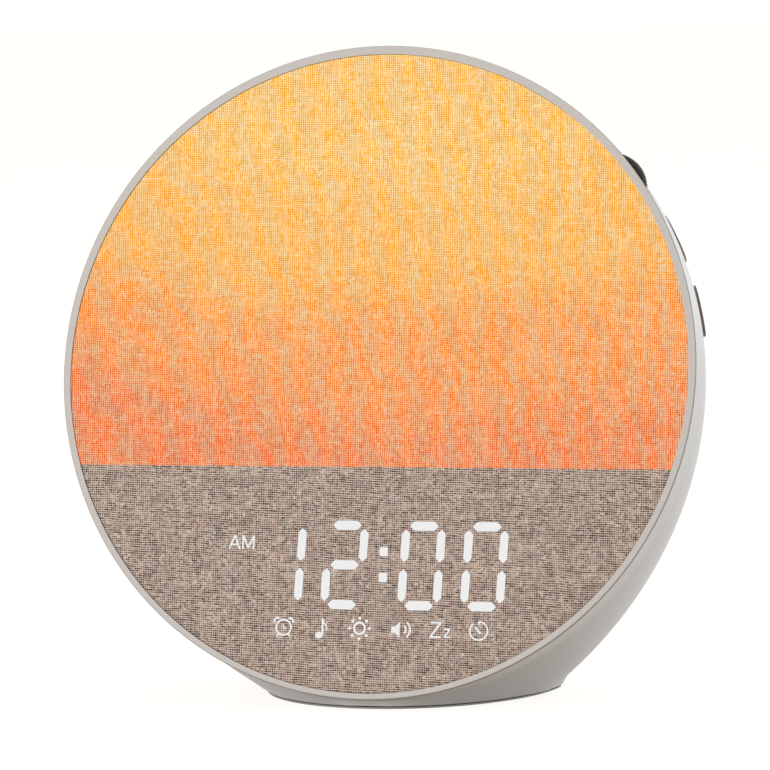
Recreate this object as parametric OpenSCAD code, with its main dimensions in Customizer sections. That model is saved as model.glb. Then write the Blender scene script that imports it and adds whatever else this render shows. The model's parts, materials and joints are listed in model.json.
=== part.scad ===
// Sunrise alarm clock: a tilted fabric disc that glows, with a numeric display below,
// in a moulded housing that runs back and down to a small oval foot.
// Z is up and the front looks along -Y. The origin is the middle of the foot's resting face.
// Inside face_frame(), X is across the face, Y is the depth behind it and Z runs up the face.

/* [Face] */
// Diameter of the round front, over the housing
face_d = 170; // [160:1:180]
// Lean of the face, back from upright, in degrees
face_tilt = 11.6; // [8:0.2:14]
// Height of the bezel's lowest edge over the table
face_lift = 3; // [2.5:0.1:5]
// Width of the bezel's front lip
lip_w = 1.6; // [1.45:0.05:2]
// How far the front lip stands out over the housing
lip_over = 0.3; // [0.1:0.05:0.4]
// How far the front lip's centre lies above the face's centre
lip_rise = 0.3; // [0:0.05:0.4]
// Thickness of the bezel's front lip
lip_t = 0.7; // [0.6:0.1:1]
// Gap between the bezel and the housing
seam_gap = 0.4; // [0.2:0.05:0.5]
// How far the fabric lies behind the lip's front
fabric_sink = 0.35; // [0.3:0.05:0.5]
// Thickness of the fabric
fabric_t = 0.6; // [0.5:0.05:0.7]
// Thickness of the plates that the fabric is stretched on
panel_t = 1.2; // [1.1:0.1:1.4]
// Height of the edge between light and display over the face's lowest edge
split_rise = 60.3; // [58:0.1:62]

/* [Housing] */
// Depth of the housing behind the face, at the back's highest point
body_d = 70; // [66:1:74]
// Depth of the straight wall behind the bezel
straight_d = 8; // [7:0.5:10]
// Roundness of the sides, where 2 is an ellipse
side_round = 2; // [1.9:0.05:2.2]
// Roundness of the crown
crown_round = 2.2; // [2:0.1:2.4]
// Roundness of the underside
keel_round = 6; // [5:0.5:8]
// How far the back's centre lies below the face's centre
keel_drop = 14.5; // [12:0.5:16]
// Wall thickness of the housing
wall = 2.4; // [2.2:0.1:2.6]

/* [Foot] */
// Width of the foot
foot_w = 79.4; // [76:0.2:84]
// Length of the foot ahead of its widest place
foot_front = 47; // [44:1:50]
// Length of the foot behind its widest place
foot_back = 19; // [16:1:21]
// Distance from the bezel's lowest edge back to the foot
foot_setback = 4; // [3:0.1:6]
// Thickness of the rubber pad
pad_t = 0.8; // [0.6:0.1:1.2]
// Distance from the foot's edge in to the pad
pad_inset = 0.6; // [0.4:0.1:2]

/* [Light box] */
// Gap between the reflector and the bezel or the button boards
tray_gap = 0.4; // [0.35:0.05:0.6]
// Depth of the reflector's floor behind the face
tray_floor_w = 20; // [19:0.5:21]
// Wall thickness of the reflector
tray_t = 1.4; // [1.2:0.1:1.6]
// Thickness of the circuit boards
board_t = 1.3; // [1.2:0.1:1.4]
// Spacing of the lamps on the light board
led_pitch = 19; // [17:0.5:19.5]
// Side of one lamp
led_side = 3.2; // [2.8:0.1:3.6]

/* [Display] */
// Height of the digits
digit_h = 23; // [21:0.1:23.5]
// Width of the digits
digit_w = 11.9; // [11:0.1:12.5]
// Width of one segment's stroke
stroke = 2.4; // [2.2:0.1:2.5]
// Slant of the digits, in degrees
digit_slant = 2.3; // [0:0.1:4]
// Height of the digits' middle over the face's lowest edge
digit_rise = 34.8; // [34:0.1:35.5]
// Height of the status signs' middle over the face's lowest edge
icon_rise = 18.3; // [17.6:0.1:18.6]

/* [Wheel] */
// Radius of the thumbwheel
wheel_r = 9; // [8.5:0.1:9.4]
// Thickness of the thumbwheel
wheel_t = 4; // [3.6:0.1:4.4]
// How far the wheel stands out of the housing
wheel_out = 1.45; // [1.25:0.05:1.7]
// Place of the wheel round the face, up from the right
wheel_angle = 39.2; // [36:0.2:42]
// Depth of the wheel's front behind the face
wheel_w = 5; // [4.8:0.1:5.4]
// Radius of the wheel's shaft
shaft_r = 1.5; // [1.3:0.1:1.6]

/* [Buttons] */
// Length of a side button
button_l = 13.6; // [12.5:0.1:14]
// Width of a side button
button_w = 5.6; // [5:0.1:6]
// Middle of the pair of side buttons, up from the right
pair_angle = 19.7; // [18:0.1:21]
// Distance between the middles of the two side buttons
pair_pitch = 20.2; // [19.5:0.1:21.5]
// Depth of the side buttons behind the face
button_depth = 19; // [18:0.5:20]
// How far a button stands out of the housing
button_out = 0.75; // [0.5:0.05:0.9]
// Travel of a button
button_travel = 0.4; // [0.3:0.05:0.5]
// Clearance round a button
button_gap = 0.3; // [0.25:0.05:0.4]
// Length of the snooze bar
snooze_l = 32; // [28:0.5:34]
// Width of the snooze bar
snooze_w = 8; // [7:0.5:8.5]

/* [Sound and power] */
// Radius of the speaker grille
grille_r = 25; // [24:0.5:26]
// Distance of the grille's centre below the face's centre
grille_drop = 26; // [24:0.5:28]
// Diameter of one grille hole
grille_hole_d = 2; // [1.6:0.1:2.2]
// Spacing of the grille holes
grille_pitch = 3.8; // [3.6:0.1:4.4]
// Radius of the hole in the power jack
jack_r = 2.8; // [2.6:0.1:3]
// Height of the power jack over the table
jack_z = 13; // [12:0.5:14]

/* [Screws] */
// Radius of a screw's shank
screw_r = 1.3; // [1.2:0.05:1.4]
// Radius of a screw's head
head_r = 2.4; // [2.2:0.1:2.5]
// Height of a screw's head
head_h = 2; // [1.6:0.1:2.2]
// Clearance of parts that only lie against each other
slip = 0.1; // [0.08:0.01:0.14]
// Clearance of a shaft in its bearing
run_fit = 0.05; // [0.03:0.01:0.08]

/* [Hidden] */

$fn = 64;
thin = 0.05;
far = 90;

// Face
face_r = face_d / 2;
window_r = face_r - lip_w;
split_drop = face_r - split_rise;
digit_drop = face_r - digit_rise;
icon_drop = face_r - icon_rise;
foot_l = foot_front + foot_back;
foot_y = foot_front - foot_l / 2;
face_y = -foot_l / 2 - foot_setback + face_r * sin(face_tilt);
face_z = face_lift + face_r * cos(face_tilt);

// Depths and radii of the front's layers
housing_w = lip_t + seam_gap;
fabric_w = fabric_sink + fabric_t;
plate_w = fabric_w + thin;
plate_end = plate_w + panel_t;
plate_r = window_r - slip - fabric_t - thin;
shelf_w = plate_end + thin;
shelf_end = shelf_w + 1.2;
shelf_r = face_r - wall - 4.1;
spigot_r = face_r - wall - 0.2;
spigot_t = 1.5;
spigot_end = straight_d - 1.5;
lip_edge = 0.25;
lip_r = face_r + lip_over;
sleeve_r = window_r + 0.7;
rebate_r = sleeve_r + slip;
rebate_w = shelf_end + slip;

// Screws and bosses: three bezel screws hold the light box and three the display
tray_angles = [90, -6, 186];
frame_angles = [-146, -90, -34];
boss_r = 2.7;
boss_at = spigot_r - boss_r - 0.9;
boss_end = straight_d;
pilot_r = screw_r + thin;
hole_r = screw_r + 0.15;
frame_spots = [for (a = frame_angles) boss_at * [cos(a), sin(a)]];
front_spots = concat([for (a = tray_angles) boss_at * [cos(a), sin(a)]], frame_spots);
ear_t = 1.5;
ear_w = boss_end + thin;
ear_end = ear_w + ear_t;
ear_over = 2.4;
tube_r = 4;
tube_w = 30.5;
bore_r = head_r + 0.4;
seat_w = tube_w + 2.5;
thread_w = shelf_end + 1;
housing_screw_l = 9;
front_screw_l = ear_end + thin - thread_w - 0.35;
board_screw_l = 5;
speaker_screw_l = 3;

// Loft of the housing
ring_bottom = 4;
ring_side = 30;
loft_steps = 18;
edge_min = 6;
last_taper = 0.995;

// Buttons, as distances from the face's axis
half_pitch = pair_pitch / 2;
flange_t = 1;
flange_out = 1.2;
stem_l = 1.2;
cross_board_w = 7;
snooze_depth = 26;
switch_h = 1.6;
switch_side = 4.6;
plunger_r = 1.1;
plunger_l = 2;
plunger_up = button_travel + 0.35;
stem_r = 1.6;
stake_r = 0.8;
stake_in = 2.4;
stake_over = 0.9;
post_r = 2;
post_gap = 0.4;
cap_over = 1;
well_t = 0.2;
side_board_l = 2 * (half_pitch + button_l / 2 + flange_out + post_gap + post_r + stake_in);
snooze_board_l = 2 * (snooze_l / 2 + flange_out + post_gap + post_r + stake_in);
side_seat = min([for (s = [-1, 1])
    seat_at(pair_angle, s * half_pitch, button_depth, button_l, button_w)]);
snooze_seat = seat_at(90, 0, snooze_depth, snooze_l, snooze_w);

// Wheel
wheel_at = face_r + wheel_out - wheel_r;
wheel_end = wheel_w + wheel_t;
wheel_teeth = 100;
tooth_h = 0.5;
wheel_gap = 0.5;
wheel_recess = 2;
pocket_r = wheel_r + 0.6;
pocket_t = 1.2;
pocket_w = wheel_w - 0.6;
pocket_end = wheel_end + 0.4;
encoder_r = 3.3;
encoder_w = wheel_end + 0.5;
wheel_board_w = button_depth - button_w / 2 - flange_out - post_gap - board_t;
wheel_board_l = 22;
wheel_board_h = 8.6;
wheel_board_z = wheel_at - 6.7;
wheel_post_x = wheel_board_l / 2 - 2;
wheel_post_z = wheel_at - 4.1;

// Light box: the reflector passes inside the bezel's shelf and the button boards
tray_w = shelf_w;
tray_back = tray_floor_w + tray_t;
tray_mouth_out = shelf_r - tray_gap;
board_edge_w = button_depth - cross_board_w / 2;
tray_flare = (tray_mouth_out - side_seat + tray_gap) * (tray_floor_w - tray_w) / (board_edge_w - tray_w);
tray_floor_out = tray_mouth_out - tray_flare;
tray_skin = tray_t / cos(atan(tray_flare / (tray_floor_w - tray_w)));
tray_floor_r = tray_floor_out - tray_skin;
divider_h = 1.2;
divider_d = 6.8;
divider_half = sqrt(pow(shelf_r, 2) - pow(split_drop + divider_h / 2, 2)) - 0.3;
tray_v = -split_drop + divider_h / 2 + thin;
led_board_w = tray_back + 0.1;
led_board_r = tray_floor_r - 2;
led_board_v = tray_v + 4;
led_h = 1.2;
led_room = 0.8;
led_low = tray_v + 10.05;
led_counts = [2, 3, 2, 1];
led_rows = [for (k = [0 : 3]) [led_low + k * led_pitch, led_counts[k]]];
posts = [for (k = [0.5, 2.5], s = [-1.5, 1.5]) [s * led_pitch, led_low + k * led_pitch]];
mast_r = post_r + 0.6;
high_back = tray_floor_r - 4.7;
low_back = tray_floor_r - 16;
high_angle = 43.6;
low_angle = 17;
back_spots = concat(
    [for (s = [-1, 1]) low_back * [s * cos(low_angle), -sin(low_angle)]],
    [for (s = [-1, 1]) high_back * [s * cos(high_angle), sin(high_angle)]]
);
back_mast_r = tube_r - 0.6;

// Main board and what stands on it
main_w = 28;
main_end = main_w + board_t;
main_half = 38;
main_low = -30;
main_high = 40;
chips = [[-8, 20, 13, 13, 1.6], [10, 24, 6, 8, 1.6], [-14, -2, 8, 6, 1.6], [0, 6, 5, 3, 1.2],
    [31, 12, 6, 18, 6.5]];
capacitor_x = [-30, -21, -12];
capacitor_v = -22;
capacitor_r = 3.2;
capacitor_h = 9;
cell_x = 13;
cell_v = -16;
cell_r = 10;
cell_h = 3.2;
holder_side = 24;
holder_h = 4;
holder_floor = 1.2;

// Display
digit_x = [-23.07, -6.34, 14.33, 31.15];
colon_x = 4.1;
colon_v = 3.35;
icon_x = [-22.2, -11.8, -1.7, 9.6, 20.2, 30.2];
icon_side = 5.4;
am_x = -34.5;
am_v = 5.5 - digit_drop;
cell_gap = 0.15;
am_w = 8.4;
colon_side = stroke - 0.2;
segment_gap = 0.35;
frame_half = 52;
frame_r = shelf_r - 2;
frame_low = -(frame_r - 5);
frame_top = split_drop + 1.8;
frame_end = 10.1;
lens_end = 8.8;
smd_h = 1;
smd_l = 1.6;
smd_w = 1;
display_board_w = frame_end + 0.1;

// Speaker and jack
grille_t = 1.8;
grille_w = body_d - 4.8;
grille_v = -grille_drop;
grille_gap = 0.25;
ledge_t = 3.2;
ledge_r = grille_r - 4;
speaker_w = grille_w - ledge_t - thin;
speaker_boss_r = grille_r + 3;
speaker_flange_r = grille_r + 2;
speaker_flange_t = 1.2;
cone_r = grille_r - 6.4;
basket_r = grille_r - 4.5;
basket_d = 10;
basket_end_r = 12.8;
coil_r = 5.2;
paper_t = 0.8;
rim_t = 1.4;
magnet_r = 13;
magnet_d = basket_d + rim_t + 0.1;
magnet_h = 7;
magnet_edge = 0.5;
speaker_screw_at = grille_r - 1.2;
jack_v = level_v(body_d - 2, jack_z);
jack_nose_r = 4.2;
jack_recess_r = 5.6;
jack_face_w = body_d - 2.6;
jack_boss_r = 7.4;
jack_nose_l = 8;
jack_side = 10;
jack_l = 10;
jack_depth = 10;
jack_pin_r = 0.9;

// Leads from the main board
lead_r = 0.8;
lead_rise = 4;

// ---------------------------------------------------------------- frames and helpers

module face_frame() translate([0, face_y, face_z]) rotate([-face_tilt, 0, 0]) children();

// A flat piece parallel to the face, from depth w, drawn as the face is seen
module slab(w, t) translate([0, w + t, 0]) rotate([90, 0, 0]) linear_extrude(t) children();

// A turned piece about the face's axis, drawn as [radius, depth]
module turned() rotate([-90, 0, 0]) rotate_extrude($fn = 96) children();

// A rod parallel to the face's axis
module rod(x, z, w, l, r) translate([x, w, z]) rotate([-90, 0, 0]) cylinder(h = l, r = r);

// Local Z points outward at an angle round the face, and local Y is the depth
module at_rim(a) rotate([0, 90 - a, 0]) children();

module capsule(l, w) {
    square([l - w, w], center = true);
    for (s = [-1, 1]) translate([s * (l - w) / 2, 0]) circle(d = w);
}

// The part of a disc above or below a level line
module disc_above(r, v) intersection() {
    circle(r = r, $fn = 96);
    translate([-r, v]) square([2 * r, 2 * r]);
}

module disc_below(r, v) intersection() {
    circle(r = r, $fn = 96);
    translate([-r, v - 2 * r]) square([2 * r, 2 * r]);
}

// ---------------------------------------------------------------- form of the housing

// How far a depth is along the rounded part, from 0 to 1. t is the distance in from the skin.
function taper(w, t) = min(last_taper, max(0, (w - straight_d) / (body_d - t - straight_d)));
function round_off(x, p) = pow(1 - pow(x, p), 1 / p);
function half_w(w, t) = (face_r - t) * round_off(taper(w, t), side_round);
function crown_h(w, t) = (face_r - t) * round_off(taper(w, t), crown_round);
function keel_h(w, t) = (face_r - t) * round_off(taper(w, t), keel_round);
function mid_v(w, t) = -keel_drop * taper(w, t);

// Level v on the face's axes that lies at height z over the table, and the Y of that line
function level_v(w, z) = (z - face_z + w * sin(face_tilt)) / cos(face_tilt);
function level_y(w, z) = face_y + level_v(w, z) * sin(face_tilt) + w * cos(face_tilt);

// Half-width of the foot's outline at y, or 0 outside it
function foot_half(y, t) =
    let(b = (y < foot_y ? foot_front : foot_back) - t, d = (y - foot_y) / b)
    abs(d) < 1 ? max(edge_min, (foot_w / 2 - t) * sqrt(1 - d * d)) : 0;

// Half-width at which the rounded section itself meets a level line, or 0
function level_half(w, t, v) =
    let(d = (v - mid_v(w, t)) / keel_h(w, t)) abs(d) < 1 ? half_w(w, t) * sqrt(1 - d * d) : 0;

// The right half of the section at depth w, as [x, v] from the middle of its bottom to its top:
// an oval, joined by tangent lines to the foot's width at table height.
function section(w, t) =
    let(
        hw = half_w(w, t), kh = keel_h(w, t), ch = crown_h(w, t), m = mid_v(w, t),
        floor_v = level_v(w, pad_t + t),
        foot = foot_half(level_y(w, pad_t + t), t),
        cut = level_half(w, t, floor_v),
        grounded = foot > 0 || cut > 0,
        e = grounded ? max(foot, cut) : min(edge_min, hw / 2),
        ev = grounded ? floor_v : m - kh * sqrt(1 - pow(e / hw, 2)),
        cx = e / hw, cy = (ev - m) / kh,
        reach = max(1, norm([cx, cy])),
        start = atan2(cy, cx),
        touch = start + acos(1 / reach)
    )
    concat(
        [for (k = [0 : ring_bottom - 1])
            let(u = e * k / ring_bottom)
            [u, grounded ? floor_v : m - kh * sqrt(1 - pow(u / hw, 2))]],
        [for (j = [0 : ring_side])
            let(
                a = start + (90 - start) * j / ring_side,
                r = a < touch ? 1 / cos(touch - a) : 1,
                h = a > 0 ? ch : kh
            )
            [j == ring_side ? 0 : hw * r * cos(a), m + h * r * sin(a)]]
    );

// The whole section as points in space
function ring(w, t) =
    let(s = section(w, t), n = len(s))
    concat(
        [for (p = s) [p[0], w, p[1]]],
        [for (k = [n - 2 : -1 : 1]) [-s[k][0], w, s[k][1]]]
    );

// Depths of the sections, closer together at the front and the back
function loft_w(i, t) =
    let(start = housing_w + t / 2)
    start + (body_d - t - start) * (1 - cos(180 * i / loft_steps)) / 2;

function skin(t) = [for (i = [0 : loft_steps - 1]) each ring(loft_w(i, t), t)];
function skin_end(t) = [0, body_d - t, mid_v(body_d, t) - keel_h(body_d, t) / 4];

// A closed solid of the housing's form, set in from the skin by t
module body_solid(t) {
    n = loft_steps;
    k = 2 * (ring_bottom + ring_side);
    polyhedron(
        points = concat(skin(t), [skin_end(t), [0, loft_w(0, t), 0]]),
        faces = concat(
            [for (i = [0 : n - 2], j = [0 : k - 1])
                let(a = i * k + j, b = i * k + (j + 1) % k)
                each [[a, b, b + k], [a, b + k, a + k]]],
            [for (j = [0 : k - 1])
                let(b = (j + 1) % k)
                each [[(n - 1) * k + j, (n - 1) * k + b, n * k], [b, j, n * k + 1]]]
        ),
        convexity = 4
    );
}

// Height of the skin over the face's axis along the direction of angle a,
// at x across that direction and at depth w
function skin_z(a, x, w, t) =
    let(
        m = mid_v(w, t), p = half_w(w, t),
        q = sin(a) > 0 ? crown_h(w, t) : keel_h(w, t),
        ou = x * sin(a), ov = -x * cos(a) - m,
        aa = pow(cos(a) / p, 2) + pow(sin(a) / q, 2),
        bb = ou * cos(a) / (p * p) + ov * sin(a) / (q * q),
        cc = pow(ou / p, 2) + pow(ov / q, 2) - 1
    )
    (sqrt(bb * bb - aa * cc) - bb) / aa;

// A block under a surface that stands t inside the skin, over x by w, down to z0
module skin_block(a, x0, x1, w0, w1, t, z0) {
    n = 8;
    m = 4;
    k = (n + 1) * (m + 1);
    function id(i, j, s) = s * k + i * (m + 1) + j;
    function side(i0, j0, i1, j1) = [
        [id(i0, j0, 0), id(i1, j1, 0), id(i1, j1, 1)], [id(i0, j0, 0), id(i1, j1, 1), id(i0, j0, 1)]
    ];
    polyhedron(
        points = [for (s = [0, 1], i = [0 : n], j = [0 : m])
            let(x = x0 + (x1 - x0) * i / n, w = w0 + (w1 - w0) * j / m)
            [x, w, s == 0 ? skin_z(a, x, w, t) : z0]],
        faces = concat(
            [for (s = [0, 1], i = [0 : n - 1], j = [0 : m - 1])
                let(q = [id(i, j, s), id(i + 1, j, s), id(i + 1, j + 1, s), id(i, j + 1, s)])
                each s == 0 ? [[q[0], q[2], q[1]], [q[0], q[3], q[2]]]
                            : [[q[0], q[1], q[2]], [q[0], q[2], q[3]]]],
            [for (i = [0 : n - 1]) each side(i, 0, i + 1, 0)],
            [for (j = [0 : m - 1]) each side(n, j, n, j + 1)],
            [for (i = [n : -1 : 1]) each side(i, m, i - 1, m)],
            [for (j = [m : -1 : 1]) each side(0, j, 0, j - 1)]
        )
    );
}

// Highest place of a flange that clears the inner wall
function flange_top(a, x, w, l, b) =
    let(h = l / 2 + flange_out, d = b / 2 + flange_out)
    min([for (i = [-1, 1], j = [-1, 1]) skin_z(a, x + i * h, w + j * d, wall)]) - button_gap - slip;

// Place of the board behind a button, with room for its switch
function seat_at(a, x, w, l, b) =
    flange_top(a, x, w, l, b) - flange_t - stem_l - thin - plunger_l - plunger_up - board_t;

// ---------------------------------------------------------------- shared pieces

// A long rod along local Z
module peg(x, w, z0, z1, r) translate([x, w, z0]) cylinder(h = z1 - z0, r = r);

// The opening of a button, right through the wall
module button_hole(x, w, l, b, z0) translate([x, w, z0]) linear_extrude(far - z0)
    capsule(l + 2 * button_gap, b + 2 * button_gap);

// A push button in the frame of its angle: cap, flange and stem
module button(a, x, w, l, b, seat) {
    top = flange_top(a, x, w, l, b);
    stem_end = seat + board_t + plunger_up + plunger_l + thin;
    intersection() {
        skin_block(a, x - l / 2 - cap_over, x + l / 2 + cap_over, w - b / 2 - cap_over,
            w + b / 2 + cap_over, -button_out, top - flange_t / 2);
        translate([x, w, 0]) linear_extrude(far) capsule(l, b);
    }
    translate([x, w, top - flange_t]) linear_extrude(flange_t)
        capsule(l + 2 * flange_out, b + 2 * flange_out);
    peg(x, w, stem_end, top - flange_t / 2, stem_r);
}

module plunger(x, w, seat) peg(
    x, w, seat + board_t + plunger_up, seat + board_t + plunger_up + plunger_l, plunger_r
);

// A push switch with a well for its plunger
module push_switch(x, w, seat) difference() {
    translate([x - switch_side / 2, w - switch_side / 2, seat + board_t + thin])
        cube([switch_side, switch_side, switch_h]);
    peg(x, w, seat + board_t + thin + well_t, far, plunger_r + button_gap);
}

// A board across local Z with two holes for its stakes
module cross_board(l, w, seat) difference() {
    translate([-l / 2, w - cross_board_w / 2, seat]) cube([l, cross_board_w, board_t]);
    for (s = [-1, 1]) peg(s * (l / 2 - stake_in), w, seat - 1, far, stake_r + thin);
}

// The posts that carry such a board
module stakes(l, w, seat) for (s = [-1, 1]) {
    peg(s * (l / 2 - stake_in), w, seat + board_t + thin, far, post_r);
    peg(s * (l / 2 - stake_in), w, seat - stake_over, seat + board_t + 1, stake_r);
}

// A screw that points to the front, with its head's underside at depth w
module screw(x, v, w, l) {
    rod(x, v, w - l, l + head_h / 4, screw_r);
    difference() {
        rod(x, v, w, head_h, head_r);
        for (t = [0, 90]) translate([x, w + head_h, v]) rotate([0, t, 0])
            cube([1.2 * head_r, 0.8 * head_h, head_r / 4], center = true);
    }
}

// ---------------------------------------------------------------- housing

// Solid masses that are left standing inside the shell
module housing_bosses() {
    for (p = back_spots) rod(p[0], p[1], tube_w, far, tube_r);
    rod(0, grille_v, grille_w - ledge_t, far, speaker_boss_r);
    rod(0, jack_v, jack_face_w - jack_nose_l, far, jack_boss_r);
    at_rim(pair_angle) stakes(side_board_l, button_depth, side_seat);
    at_rim(180 - pair_angle) stakes(side_board_l, button_depth, side_seat);
    at_rim(90) stakes(snooze_board_l, snooze_depth, snooze_seat);
}

module speaker_spots() for (a = [45 : 90 : 315])
    translate([speaker_screw_at * cos(a), 0, grille_v + speaker_screw_at * sin(a)]) children();

module rear_housing() color("#d6d4d1") face_frame() difference() {
    body_solid(0);
    difference() {
        body_solid(wall);
        housing_bosses();
    }
    rod(0, 0, -1, rebate_w + 1, rebate_r);
    for (p = back_spots) {
        rod(p[0], p[1], tube_w - 1, far, hole_r);
        rod(p[0], p[1], seat_w, far, bore_r);
    }
    rod(0, grille_v, grille_w, far, grille_r + grille_gap);
    rod(0, grille_v, grille_w - ledge_t - 1, far, ledge_r);
    speaker_spots() rod(0, 0, grille_w - ledge_t - 1, speaker_screw_l + 0.2, pilot_r);
    rod(0, jack_v, jack_face_w, far, jack_recess_r);
    rod(0, jack_v, jack_face_w - jack_nose_l - 1, far, jack_nose_r + slip);
    at_rim(wheel_angle) rod(0, wheel_at, wheel_w - wheel_gap, wheel_t + 2 * wheel_gap,
        wheel_r + wheel_gap);
    for (a = [pair_angle, 180 - pair_angle], s = [-1, 1]) at_rim(a)
        button_hole(s * half_pitch, button_depth, button_l, button_w, side_seat + board_t);
    at_rim(90) button_hole(0, snooze_depth, snooze_l, snooze_w, snooze_seat + board_t);
}

module foot_pad() color("#3a3937") linear_extrude(pad_t - thin) polygon([
    for (i = [0 : 119])
        let(
            a = 3 * i, b = (sin(a) < 0 ? foot_front : foot_back) - pad_inset,
            c = foot_w / 2 - pad_inset
        )
        [c * cos(a), foot_y + b * sin(a)]
]);

// ---------------------------------------------------------------- front

// The ring that the plates and the fabric sit in
module bezel_ring() difference() {
    union() {
        translate([0, 0, lip_rise]) turned() polygon([
            [0, 0], [lip_r - lip_edge, 0], [lip_r, lip_edge], [lip_r, lip_t], [0, lip_t]
        ]);
        turned() polygon([
            [0, lip_t / 2], [sleeve_r, lip_t / 2], [sleeve_r, shelf_end], [spigot_r, shelf_end],
            [spigot_r, spigot_end], [spigot_r - spigot_t, spigot_end],
            [spigot_r - spigot_t, shelf_end], [0, shelf_end]
        ]);
    }
    rod(0, 0, -1, shelf_w + 1, window_r);
    rod(0, 0, -1, far, shelf_r);
}

module front_bezel() color("#c6c0ba") face_frame() difference() {
    union() {
        bezel_ring();
        for (p = front_spots) rod(p[0], p[1], shelf_end - thin, boss_end - shelf_end + thin, boss_r);
    }
    for (p = front_spots) rod(p[0], p[1], thread_w, far, pilot_r);
    at_rim(wheel_angle) rod(0, wheel_at, wheel_w - wheel_gap, far, wheel_r + wheel_gap);
}

module fabric_cover() color("#a59385") face_frame() turned() polygon([
    [0, fabric_sink], [window_r - slip, fabric_sink], [window_r - slip, plate_end],
    [window_r - slip - fabric_t, plate_end], [window_r - slip - fabric_t, fabric_w], [0, fabric_w]
]);

module light_diffuser() color("#f4f0e8") face_frame()
    slab(plate_w, panel_t) disc_above(plate_r, -split_drop + divider_h / 2 + thin);

module display_window() color("#2b2b2d") face_frame()
    slab(plate_w, panel_t) disc_below(plate_r, -split_drop - divider_h / 2 - thin);

module divider_gasket() color("#26262a") face_frame()
    translate([-divider_half, plate_w, -split_drop - divider_h / 2])
        cube([2 * divider_half, divider_d, divider_h]);

// ---------------------------------------------------------------- light box

module above_divider(v) translate([-far, 0, v]) cube([2 * far, far, 2 * far]);

module tray_cavity() intersection() {
    turned() polygon([
        [0, 0], [tray_mouth_out - tray_skin, 0], [tray_mouth_out - tray_skin, tray_w],
        [tray_floor_r, tray_floor_w], [0, tray_floor_w]
    ]);
    above_divider(tray_v + tray_t);
}

module reflector_tray() color("#f2f2ee") face_frame() difference() {
    union() {
        difference() {
            intersection() {
                turned() polygon([
                    [0, tray_w], [tray_mouth_out, tray_w], [tray_floor_out, tray_floor_w],
                    [tray_floor_out, tray_back], [0, tray_back]
                ]);
                above_divider(tray_v);
            }
            difference() {
                tray_cavity();
                at_rim(wheel_angle)
                    rod(0, wheel_at, tray_w, pocket_end + tray_t - tray_w, pocket_r + pocket_t);
            }
        }
        for (a = tray_angles) at_rim(a) difference() {
            translate([-boss_r, ear_w, 0]) cube([2 * boss_r, ear_t, boss_at + ear_over]);
            rod(0, boss_at, 0, far, hole_r);
            rod(0, 0, 0, far, tray_mouth_out - tray_flare / 2);
        }
        for (p = posts) rod(p[0], p[1], tray_floor_w + tray_t / 2,
            main_w - tray_floor_w - tray_t / 2 - thin, mast_r);
        for (p = back_spots) rod(p[0], p[1], tray_floor_w + tray_t / 2,
            tube_w - tray_floor_w - tray_t / 2 - thin, back_mast_r);
        at_rim(wheel_angle) for (s = [-1, 1]) {
            rod(s * wheel_post_x, wheel_post_z, wheel_end, wheel_board_w - wheel_end - thin, post_r);
            rod(s * wheel_post_x, wheel_post_z, wheel_end + 1,
                wheel_board_w + board_t + stake_over - wheel_end - 1, stake_r);
        }
    }
    for (p = front_spots) rod(p[0], p[1], 0, ear_w - thin, boss_r + 0.35);
    at_rim(wheel_angle) rod(0, wheel_at, pocket_w, pocket_end - pocket_w, pocket_r);
    for (row = led_rows, i = [-row[1] : row[1]])
        translate([i * led_pitch, tray_floor_w, row[0]])
            cube([led_side + led_room, 2 * tray_t + 1, led_side + led_room], center = true);
    for (p = concat(posts, back_spots)) rod(p[0], p[1], tray_back + 1, far, pilot_r);
}

module led_board() color("#e8e6dc") face_frame() difference() {
    slab(led_board_w, board_t) disc_above(led_board_r, led_board_v);
    for (p = posts) rod(p[0], p[1], 0, far, mast_r + 0.4);
    for (p = back_spots) rod(p[0], p[1], 0, far, back_mast_r + 0.4);
}

module sunrise_leds() color("#f6e6a8") face_frame()
    for (row = led_rows, i = [-row[1] : row[1]])
        translate([i * led_pitch, led_board_w - thin - led_h / 2, row[0]])
            cube([led_side, led_h, led_side], center = true);

// ---------------------------------------------------------------- display

// A six-sided segment, pointed at both ends
module segment(l, g) {
    h = stroke / 2 + g;
    e = l / 2 + g;
    polygon([[-e, 0], [h - e, h], [e - h, h], [e, 0], [e - h, -h], [h - e, -h]]);
}

// The seven segments of one digit, grown by g
module digit(g) {
    half = (digit_h - stroke) / 2;
    side = (digit_w - stroke) / 2;
    for (k = [-1 : 1]) translate([k * half * tan(digit_slant), k * half])
        segment(2 * side - 2 * segment_gap, g);
    for (k = [-1, 1], s = [-1, 1])
        translate([s * side + k * half / 2 * tan(digit_slant), k * half / 2])
            rotate(90 - digit_slant) segment(half - 2 * segment_gap, g);
}

// Everything that lights as figures, grown by g
module figures(g) translate([0, -digit_drop]) {
    for (x = digit_x) translate([x, 0]) digit(g);
    for (k = [-1, 1]) translate([colon_x, k * colon_v])
        square(colon_side + 2 * g, center = true);
}

module icon_cells(g) {
    for (x = icon_x) translate([x, -icon_drop]) square(icon_side + 2 * g, center = true);
    translate([am_x, am_v]) square([am_w + 2 * g, icon_side + 2 * g], center = true);
}

// Outline of the display's frame, set in by g
module frame_outline(g) intersection() {
    circle(r = frame_r, $fn = 96);
    translate([-frame_half + g, frame_low + g])
        square([2 * frame_half - 2 * g, -frame_top - frame_low - 2 * g]);
}

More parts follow.
